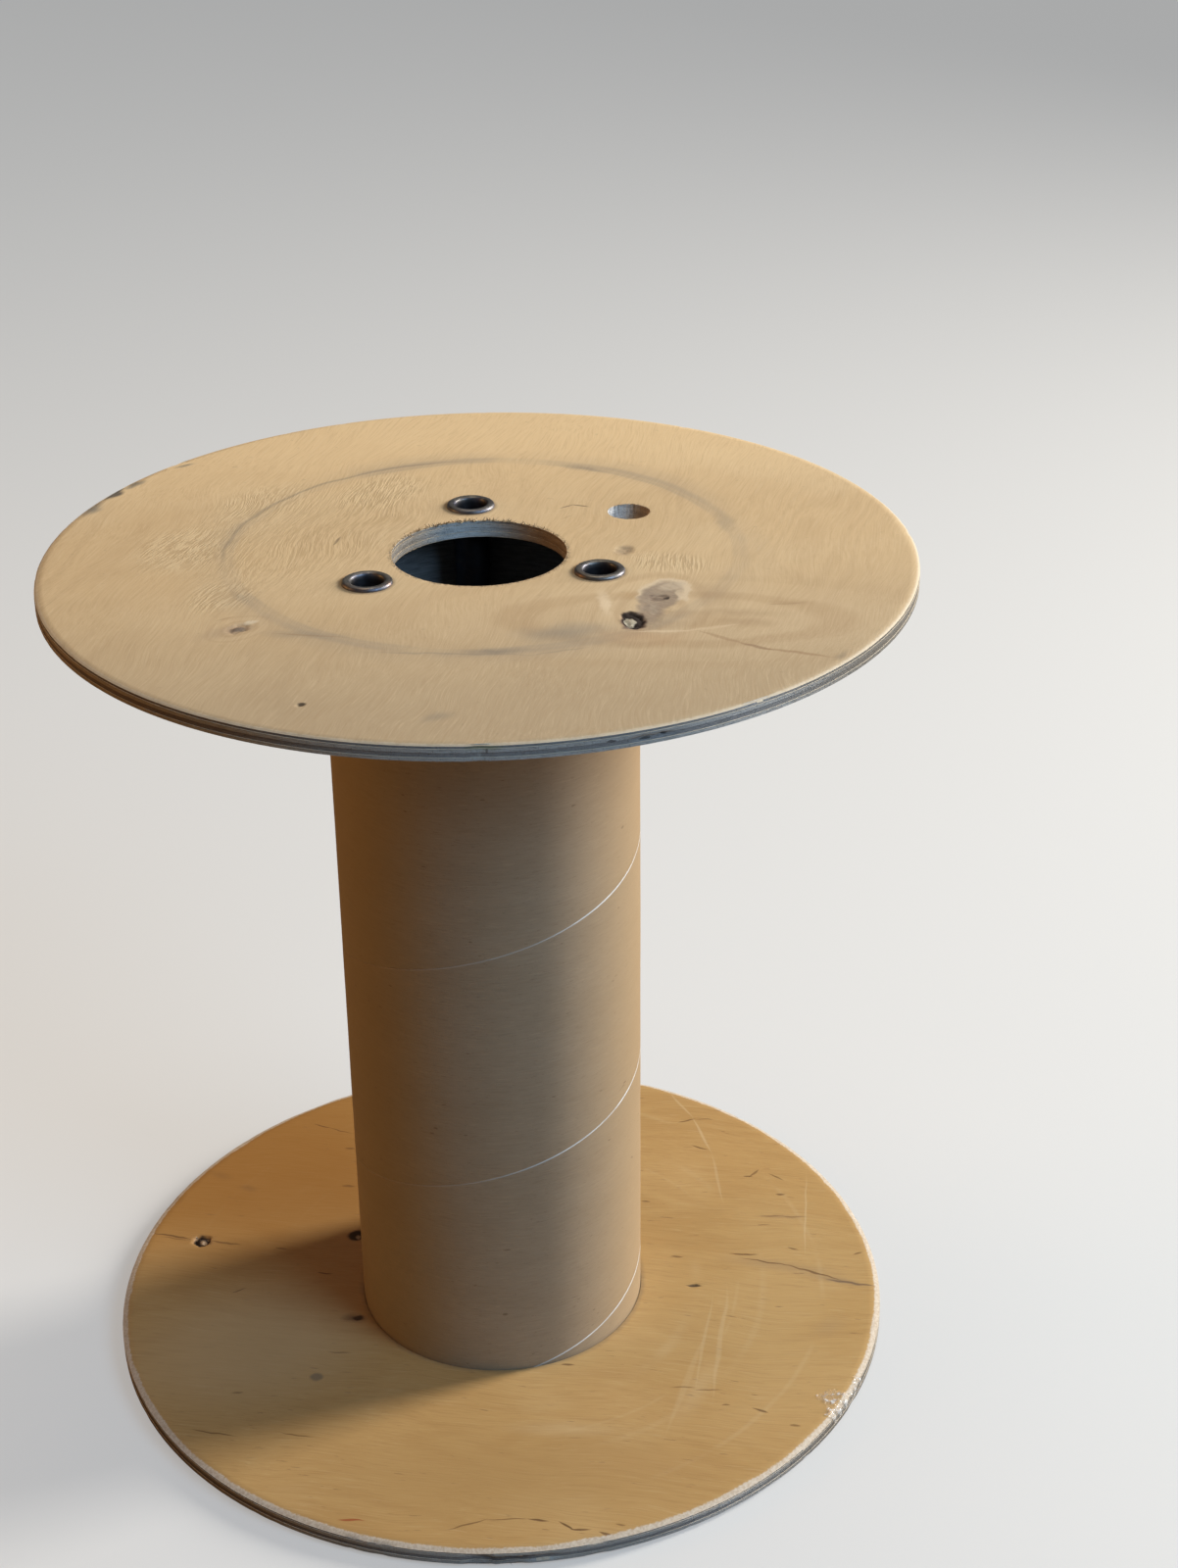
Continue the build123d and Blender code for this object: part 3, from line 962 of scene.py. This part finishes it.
# Both flanges; depths are below the upper side, and the bevels are (width, depth)
flangeValues = {
    "thickness": 8,
    "bore": 40,
    "tieHole": 8.75,
    "seat": (69.75, 73.75, 2),
    "segments": 400,
    "outsideBevel": (1.2, 0.6),
    "insideBevel": (3, 1),
    "wornWidth": 4.5,
    "looseVeneer": 0.42,  # more of the veneer's rim is lost when this is lower
}


def plyRows(radius, outward, top, bottom):
    rows = []
    for start, end, back in plyLines:
        high, low = max(start, top) + 0.04, min(end, bottom) - 0.04
        if low > high:
            rows += [(radius - outward * back, high, 1), (radius - outward * back, low, 0)]
    return rows


def flangeSection(top, seatOnTop):
    values = flangeValues
    radius, bore, thick = flangeReach, values["bore"], values["thickness"]
    seatInner, seatOuter, seatDepth = values["seat"]
    topBevel, lowBevel = values["outsideBevel"], values["insideBevel"]
    rows = [(bore, 0, 52)]
    if seatOnTop:
        topBevel, lowBevel = lowBevel, topBevel
        rows = [(bore, 0, 9), (seatInner, 0, 0), (seatInner, seatDepth, 0), (seatOuter, seatDepth, 0),
                (seatOuter, 0, 40)]
    rows += [(radius - topBevel[0], 0, 1)]
    rows += plyRows(radius, 1, topBevel[1], thick - lowBevel[1])
    rows += [(radius - lowBevel[0], thick, 9)]
    if not seatOnTop:
        rows += [(seatOuter, thick, 0), (seatOuter, thick - seatDepth, 0),
                 (seatInner, thick - seatDepth, 0), (seatInner, thick, 2)]
    rows += [(bore, thick, 0)]
    boreRows = plyRows(bore, -1, 0, thick)
    for high, low in reversed(list(zip(boreRows[0::2], boreRows[1::2]))):
        rows += [(low[0], low[1], 1), (high[0], high[1], 0)]
    return [(reach, top - depth, cuts) for reach, depth, cuts in rows]


# Each chip: angle, half width in degrees, least depth, greatest depth, how far it goes in
def wearEdges(work, top, seed, chips):
    bore = flangeValues["bore"]
    for vert in work.verts:
        x, y, z = vert.co
        reach, depth = math.hypot(x, y), top - z
        spot = Vector((x, y, z * 2 + seed))
        fine, broad = noise.noise(spot * 0.55), noise.noise(spot * 0.11)
        if reach > flangeReach - flangeValues["wornWidth"]:
            inward = 0.05 + 0.09 * abs(fine) + 0.08 * abs(broad)
            if depth < 1.3 or depth > 7:  # the long rims lose slivers of veneer
                around = Vector((x, y, seed))
                loose = noise.noise(around * 0.16) + 0.5 * noise.noise(around * 0.5)
                loose = max(0, loose - flangeValues["looseVeneer"])
                inward += loose * 0.8
                vert.co.z -= loose * (0.5 if depth < 1.3 else -0.3)
            angle = math.degrees(math.atan2(y, x)) % 360
            for middle, halfWidth, least, most, inset in chips:
                off = abs((angle - middle + 180) % 360 - 180) / halfWidth
                if off < 1 and least <= depth <= most:
                    inward += inset * (1 - off * off) * (0.6 + 0.6 * abs(noise.noise(spot * 1.3)))
            push(vert, -inward)
        elif reach < bore + 1:
            outward = 0.04 + 0.14 * abs(fine) + 0.1 * abs(noise.noise(spot * 1.4))
            if depth < 0.03:  # torn lip, worst where the saw left the fibres across its path
                outward += 0.55 * max(0, noise.noise(spot * 0.9)) * abs(y) / bore
            push(vert, outward)


# Finer mesh round each knot or dent, then the dips themselves
def pressDips(work, top, areas, dips):
    for x, y, radius in areas:
        near = [edge for edge in work.edges if all(
            abs(vert.co.z - top) < 0.01 and math.hypot(vert.co.x - x, vert.co.y - y) < radius
            for vert in edge.verts)]
        bmesh.ops.subdivide_edges(work, edges=near, cuts=2, use_grid_fill=True)
    tops = [vert for vert in work.verts if abs(vert.co.z - top) < 0.01]
    for x, y, halfLength, halfWidth, turn, depth, hollow in dips:
        axes = [Vector(axis) for axis in markAxes(math.radians(turn), halfLength, halfWidth)]
        for vert in tops:
            off = Vector((vert.co.x - x, vert.co.y - y, 0))
            if max(abs(off.x), abs(off.y)) > halfLength * 1.3:
                continue
            reach = math.hypot(off.dot(axes[0]), off.dot(axes[1]))
            reach += 0.25 * noise.noise(Vector((off.x, off.y, x)) * 0.35)
            if reach < 1:
                fall = 1 - reach * reach
                if hollow:  # a trough round a plug that stays nearly level
                    fall = math.exp(-((reach - hollow) / 0.22) ** 2) + 0.25 * (reach < hollow)
                vert.co.z -= depth * fall * (1 + 0.5 * noise.noise(Vector((off.x, off.y, 3)) * 1.2))


# Cuts round holes: x, y, radius, segments
def cutHoles(work, low, high, holes):
    drills = bmesh.new()
    for x, y, radius, segments in holes:
        bmesh.ops.create_cone(drills, cap_ends=True, segments=segments, radius1=radius, radius2=radius,
                              depth=high - low, matrix=Matrix.Translation((x, y, (high + low) / 2)))
    blank, drill = toObject("blank", work), toObject("drill", drills)
    cutter = blank.modifiers.new("holes", "BOOLEAN")
    cutter.object = drill
    cutter.solver = "EXACT"
    bpy.context.view_layer.update()
    mesh = bpy.data.meshes.new_from_object(blank.evaluated_get(bpy.context.evaluated_depsgraph_get()))
    done = bmesh.new()
    done.from_mesh(mesh)
    spent = [blank.data, drill.data, mesh]
    for helper in (blank, drill):
        bpy.data.objects.remove(helper)
    for data in spent:
        bpy.data.meshes.remove(data)
    # A drill that just meets an edge of the blank leaves doubled corners
    bmesh.ops.remove_doubles(done, verts=done.verts[:], dist=0.0005)
    bmesh.ops.dissolve_degenerate(done, dist=0.0005, edges=done.edges[:])
    bmesh.ops.triangulate(done, faces=[face for face in done.faces if len(face.verts) > 4])
    return done


def markSides(work):  # 0 upper side, 1 underside, 2 cut edges
    work.normal_update()
    for face in work.faces:
        face.material_index = 0 if face.normal.z > 0.6 else 1 if face.normal.z < -0.6 else 2


# One torn fibre: a thin flattened spike from its root, in the finish with the given number
def addFibre(work, root, run, width, finish):
    turn = run.to_track_quat("Z", "X").to_matrix().to_4x4()
    placed = Matrix.Translation(root + run / 2) @ turn @ Matrix.Diagonal((1, 0.45, 1, 1))
    made = bmesh.ops.create_cone(work, cap_ends=True, segments=5, radius1=width, radius2=width * 0.12,
                                 depth=run.length, matrix=placed)["verts"]
    for face in {face for vert in made for face in vert.link_faces}:
        face.material_index = finish
    return made


tieHoles = [(x, y, flangeValues["tieHole"], 64) for x, y in tubePlaces]

upperFlange = {
    "seed": 3,
    "cableHole": (74.046, 42.75, 10, 96),
    "chips": ((266, 1, 0.2, 7.8, 0.7), (284.9, 1.6, 2.8, 4.6, 0.9), (287.3, 0.9, 2.8, 4.6, 1.1),
              (149, 3, 0, 1, 0.8), (136, 2.4, 0, 1, 0.7), (300, 4, 0, 0.9, 0.5)),
    "fineAreas": ((71, -70, 36), (-107, -73, 15), (65.6, -5, 10), (-82.3, -154.3, 5)),
    # x, y, half length, half width, turn, depth, hollow (0 for a plain dip)
    "dips": ((75, -64, 21, 9, 73, 0.35, 0), (65, -84, 13, 8, 80, 0.3, 0), (60.2, -87, 10, 5.2, 88, 0.9, 0.7),
             (74, -63.2, 5, 4.4, 0, 0.35, 0.6), (-108.3, -74, 7, 4.6, 45, 0.45, 0.6), (66, -6, 6.5, 4.5, 70, 0.7, 0),
             (-82.3, -154.3, 2.2, 1.6, 10, 0.6, 0)),
    "boreFibres": 190,
    "cableHoleFibres": 26,
}


def makeUpperFlange():
    values = upperFlange
    work = turnSection(flangeSection(upperFace, False), flangeValues["segments"])
    wearEdges(work, upperFace, values["seed"], values["chips"])
    pressDips(work, upperFace, values["fineAreas"], values["dips"])
    work = cutHoles(work, upperUnderside - 3, upperFace + 3, tieHoles + [values["cableHole"]])
    holeX, holeY, holeRadius = values["cableHole"][:3]
    for vert in work.verts:  # the torn far lip of the cable hole
        reach = math.hypot(vert.co.x - holeX, vert.co.y - holeY)
        if abs(reach - holeRadius) < 0.05 and abs(vert.co.z - upperFace) < 0.05:
            torn = max(0, noise.noise(vert.co * 1.1) + 0.1)
            torn *= 0.3 + 0.7 * max(0, (vert.co.y - holeY) / reach)
            push(vert, torn * 1.1, holeX, holeY)
            vert.co.z -= torn * 0.5
    markSides(work)
    fibres = []
    for count in range(values["boreFibres"]):
        far = count % 4 != 0  # most of the torn fibres are on the far side of the bore
        angle = math.radians(random.gauss(92, 30) if far else random.gauss(270, 32))
        length = random.uniform(1, 3.2) * (1 if far else 0.35)
        reach = flangeValues["bore"] + random.uniform(0.1, 0.7)
        root = polar(reach, angle, upperFace - random.uniform(0.05, 0.35))
        lift = random.uniform(0, 1.6) if far else random.uniform(-0.6, 0.2)
        lean = Vector((random.uniform(-0.5, 0.5), random.uniform(-1, 0.4) if far else 1, lift)).normalized()
        fibres += addFibre(work, root, lean * length, random.uniform(0.16, 0.46), 0)
    for count in range(values["cableHoleFibres"]):
        angle = math.radians(random.uniform(20, 160))
        root = polar(holeRadius + 0.3, angle, upperFace - random.uniform(0.05, 0.3), holeX, holeY)
        lean = Vector((random.uniform(-0.4, 0.4), -0.8, random.uniform(-0.3, 0.8))).normalized()
        fibres += addFibre(work, root, lean * random.uniform(0.5, 1.4), random.uniform(0.1, 0.22), 0)
    for vert in fibres:
        vert.co.z = min(vert.co.z, crest - 0.1)
    finishPiece("upperFlange", work, ("upper", "upperUnder", "upperEdge"), "upper_flange")


lowerFlange = {
    "seed": 47,
    "chips": ((262.5, 2.2, 1.5, 8, 1.8), (267, 1.6, 3, 8, 1.4), (270.8, 2.6, 2.6, 5.6, 1),
              (330, 1.5, 0, 2, 0.6), (40, 3, 5, 8, 0.8), (120, 4, 0, 1.5, 0.5)),
    "fineAreas": ((-160.5, 52, 9), (-79, -23, 11), (97, -18.4, 7)),
    "dips": ((-160.5, 52, 5.2, 4.8, 0, 1.7, 0.68), (-80, -23, 8, 3.2, -8, 0.5, 0), (100, -18.4, 3.5, 1.6, -6, 0.5, 0)),
    "edgeFibres": 34,
    "fibreRoot": 198.4,
    "fibreReach": 199.8,
}


def makeLowerFlange():
    values = lowerFlange
    work = turnSection(flangeSection(lowerFace, True), flangeValues["segments"])
    wearEdges(work, lowerFace, values["seed"], values["chips"])
    pressDips(work, lowerFace, values["fineAreas"], values["dips"])
    work = cutHoles(work, lowerUnderside - 3, lowerFace + 3, tieHoles)
    markSides(work)
    for count in range(values["edgeFibres"]):  # frayed fibres at the damaged spot on the front edge
        angle = math.radians(random.gauss(265.5, 2.6))
        root = polar(values["fibreRoot"], angle, lowerFace - random.uniform(2, 7.4))
        lean = Vector((random.uniform(-1, 1), random.uniform(-0.45, -0.15), random.uniform(-0.4, 0.4))).normalized()
        for vert in addFibre(work, root, lean * random.uniform(1.2, 3.2), random.uniform(0.12, 0.28), 2):
            vert.co.xy *= min(1, values["fibreReach"] / math.hypot(vert.co.x, vert.co.y))
    finishPiece("lowerFlange", work, ("lower", "lowerUnder", "lowerEdge"), "lower_flange")


makeUpperFlange()
makeLowerFlange()

# Core tube: one strip of board wound up in a spiral, so its seam is a real groove
coreShape = {"radius": 73.5, "wall": 3.5, "steps": 108, "turns": 6, "groove": 0.22, "lip": 0.8, "rows": 16}


def makeCoreTube():
    values, pitch = coreShape, coreBoard["pitch"]
    radius, lip, groove = values["radius"], values["lip"], values["groove"]
    start = coreBoard["seamHeight"] - 2 * pitch
    work = bmesh.new()
    heights = (0, 0.3 * lip, lip, pitch - lip, pitch - 0.3 * lip, pitch)
    depths = (groove, 0.06, 0, 0, 0.02, groove)
    points = [work.verts.new((radius - depth, 0, start + height)) for height, depth in zip(heights, depths)]
    runs = [work.edges.new(pair) for pair in zip(points, points[1:])]
    bmesh.ops.subdivide_edges(work, edges=[runs[2]], cuts=values["rows"])
    bmesh.ops.spin(work, geom=work.verts[:] + work.edges[:], axis=(0, 0, 1), cent=(0, 0, 0),
                   dvec=(0, 0, pitch / values["steps"]), angle=math.tau * values["turns"],
                   steps=values["steps"] * values["turns"], use_merge=False)
    bmesh.ops.remove_doubles(work, verts=work.verts[:], dist=0.01)
    for height, up in ((coreFoot + 0.05, -1), (coreHead - 0.05, 1)):
        bmesh.ops.bisect_plane(work, geom=work.verts[:] + work.edges[:] + work.faces[:],
                               plane_co=(0, 0, height), plane_no=(0, 0, up), clear_outer=True)
    for vert in work.verts:  # the board isn't perfectly round
        slack = 0.1 * noise.noise(vert.co * 0.018) + 0.04 * noise.noise(vert.co * 0.09) - 0.05
        vert.co.xy *= 1 + slack / radius
    bmesh.ops.recalc_face_normals(work, faces=work.faces[:])
    first = work.faces[:][0]
    if first.normal.xy.dot(first.calc_center_median().xy) < 0:
        bmesh.ops.reverse_faces(work, faces=work.faces[:])
    bmesh.ops.solidify(work, geom=work.faces[:], thickness=values["wall"])
    for face in work.faces:
        face.material_index = int(all(
            math.hypot(vert.co.x, vert.co.y) < radius - values["wall"] / 2 for vert in face.verts))
    finishPiece("coreTube", work, ("board", "boardInside"), "core_tube", 50)


makeCoreTube()

# Tie tubes: a straight tube whose ends are rolled outwards
tieShape = {"inner": 7.5, "outer": 8.5, "roll": 11.5, "wall": 1, "bend": 1.65, "segments": 96,
            "rimGap": 0.03, "uneven": 0.035}


def makeTieTube(number):
    values = tieShape
    middle = crest / 2
    top, seat = crest - middle, upperFace - middle
    rollInside, rollCeiling = values["roll"] - values["wall"], top - values["wall"]
    half = [(values["inner"], top), (values["roll"], top), (values["roll"], seat), (rollInside, seat),
            (rollInside, rollCeiling), (values["outer"], rollCeiling)]
    corners = half + [(reach, -height) for reach, height in reversed(half)]
    work = turnSection([(reach, height + middle, 0) for reach, height in corners], values["segments"])
    rims = [edge for edge in work.edges if all(abs(abs(vert.co.z - middle) - top) < 0.01 for vert in edge.verts)
            and abs(edge.verts[0].co.xy.length - edge.verts[1].co.xy.length) < 0.01]
    bmesh.ops.bevel(work, geom=rims, offset=values["bend"], segments=8, profile=0.5, affect="EDGES", material=-1)
    for vert in work.verts:  # the rolling tool leaves the rim very slightly uneven
        reach = math.hypot(vert.co.x, vert.co.y)
        if reach > values["outer"] + 0.2:
            uneven = values["uneven"] * noise.noise(vert.co * 0.35 + Vector((number * 9, 0, 0)))
            vert.co.xy *= 1 - (values["rimGap"] + uneven) / reach
    bmesh.ops.translate(work, verts=work.verts[:], vec=(*tubePlaces[number - 1], 0))
    finishPiece("tieTube" + str(number), work, ("steel",), "tie_tube_" + str(number), 60)


for number in (1, 2, 3):
    makeTieTube(number)

# Scrap of clear tape, crumpled over the edge of the lower flange
tapeValues = {"angle": -35.2, "length": 34, "width": 20, "inner": 185, "edge": 197.3, "bend": 3.2,
              "crumple": 1.6, "lift": 0.15, "thickness": 0.06}


def makeTapeScrap():
    values = tapeValues
    inner, bend = values["inner"], values["bend"]
    flat = values["edge"] - inner  # how far it lies on the face before it bends over the edge
    lying = lowerFace + values["lift"]
    work = bmesh.new()
    bmesh.ops.create_grid(work, x_segments=72, y_segments=48, size=0.5)
    gone = []
    for vert in work.verts:
        along, across = vert.co.x, vert.co.y + 0.5
        ragged = noise.noise(Vector((along * 6, across * 3, 1.5)))
        if across < 0.42 - 0.34 * math.cos(along * 7 + 1.2) + 0.3 * ragged or across > 0.93 + 0.1 * ragged:
            gone.append(vert)
        down = across * values["width"] - flat
        crumple = values["crumple"] * (
            abs(noise.noise(Vector((along * 8, across * 6, 4))))
            + 0.25 * abs(noise.noise(Vector((along * 19, across * 14, 9)))))
        if down < 0:
            reach, height = inner + flat + down, lying + crumple
        elif down < bend:
            reach, height = inner + flat + down * 0.95, lying - down * 0.3 + crumple * 0.9
        else:
            reach, height = inner + flat + 3.05 + crumple * 0.35, lowerFace - 0.8 - (down - bend)
        angle = math.radians(values["angle"]) + along * values["length"] / flangeReach
        vert.co = polar(reach, angle, max(height, 0.6))
    bmesh.ops.delete(work, geom=gone, context="VERTS")
    bmesh.ops.recalc_face_normals(work, faces=work.faces[:])
    bmesh.ops.solidify(work, geom=work.faces[:], thickness=values["thickness"])
    finishPiece("tapeScrap", work, ("film",), None, 30)


makeTapeScrap()
print("pieces made")

# Pale floor, even daylight from the right and a soft fill
stageValues = {
    "floorRadius": 9,
    "floorColour": (0.38, 0.376, 0.368),
    "floorBounce": (0.27, 0.175, 0.09),
    "floorGlow": (0.36, 0.36, 0.358),
    "skyColour": (0.84, 0.92, 1),
    "skyLight": 0.08,
    "skySeen": 0.88,
    "aim": (0, 0, 0.25),
    # name, place in metres, width and height in metres, spread in degrees, watts, colour
    "lamps": (("key", (2.9, 0.78, 1.45), 0.75, 2, 130, 79.6, (1, 0.95, 0.87)),
              ("top", (0.1, 0.3, 2.5), 1.4, 1.4, 180, 12, (1, 0.86, 0.62)),
              ("warm", (-1.6, 0.2, 0.85), 1, 1, 180, 5.5, (1, 0.48, 0.12)),
              ("fill", (1.58, -1.43, 1.74), 1.4, 1.4, 180, 38, (0.44, 0.69, 0.97))),
}


def makeFloor():
    values = stageValues
    work = bmesh.new()
    bmesh.ops.create_circle(work, cap_ends=True, segments=96, radius=values["floorRadius"])
    floor = toObject("floor", work)
    material = bpy.data.materials.new("paleFloor")
    material.use_nodes = True
    tree = material.node_tree
    seen = addNode("ShaderNodeLightPath", tree=tree).outputs["Is Camera Ray"]
    feed(tree.nodes["Principled BSDF"].inputs, {
        "Base Color": blend(seen, values["floorBounce"], values["floorColour"]),
        "Emission Color": blend(seen, (0, 0, 0), values["floorGlow"]),
        "Emission Strength": 1,
        "Roughness": 0.85,
        "Specular IOR Level": 0.2})
    floor.data.materials.append(material)


def makeDaylight():
    values = stageValues
    scene.world = bpy.data.worlds.new("daylight")
    scene.world.use_nodes = True
    tree = scene.world.node_tree
    tree.nodes.clear()
    seen = addNode("ShaderNodeLightPath", tree=tree).outputs["Is Camera Ray"]
    strength = addNode("ShaderNodeMapRange", None, {
        "Value": seen, "To Min": values["skyLight"], "To Max": values["skySeen"]}).outputs[0]
    sky = addNode("ShaderNodeBackground", None, {"Color": (*values["skyColour"], 1), "Strength": strength})
    addNode("ShaderNodeOutputWorld", None, {"Surface": sky.outputs[0]})
    for name, place, width, height, spread, watts, tone in values["lamps"]:
        light = bpy.data.lights.new(name, "AREA")
        light.shape = "ELLIPSE"
        light.size, light.size_y = width, height
        light.spread = math.radians(spread)
        light.energy = watts
        light.color = tone
        lamp = bpy.data.objects.new(name, light)
        lamp.location = place
        lamp.rotation_euler = (Vector(values["aim"]) - lamp.location).to_track_quat("-Z", "Y").to_euler()
        scene.collection.objects.link(lamp)


makeFloor()
makeDaylight()
scene.view_settings.view_transform = "Standard"
print("stage made")
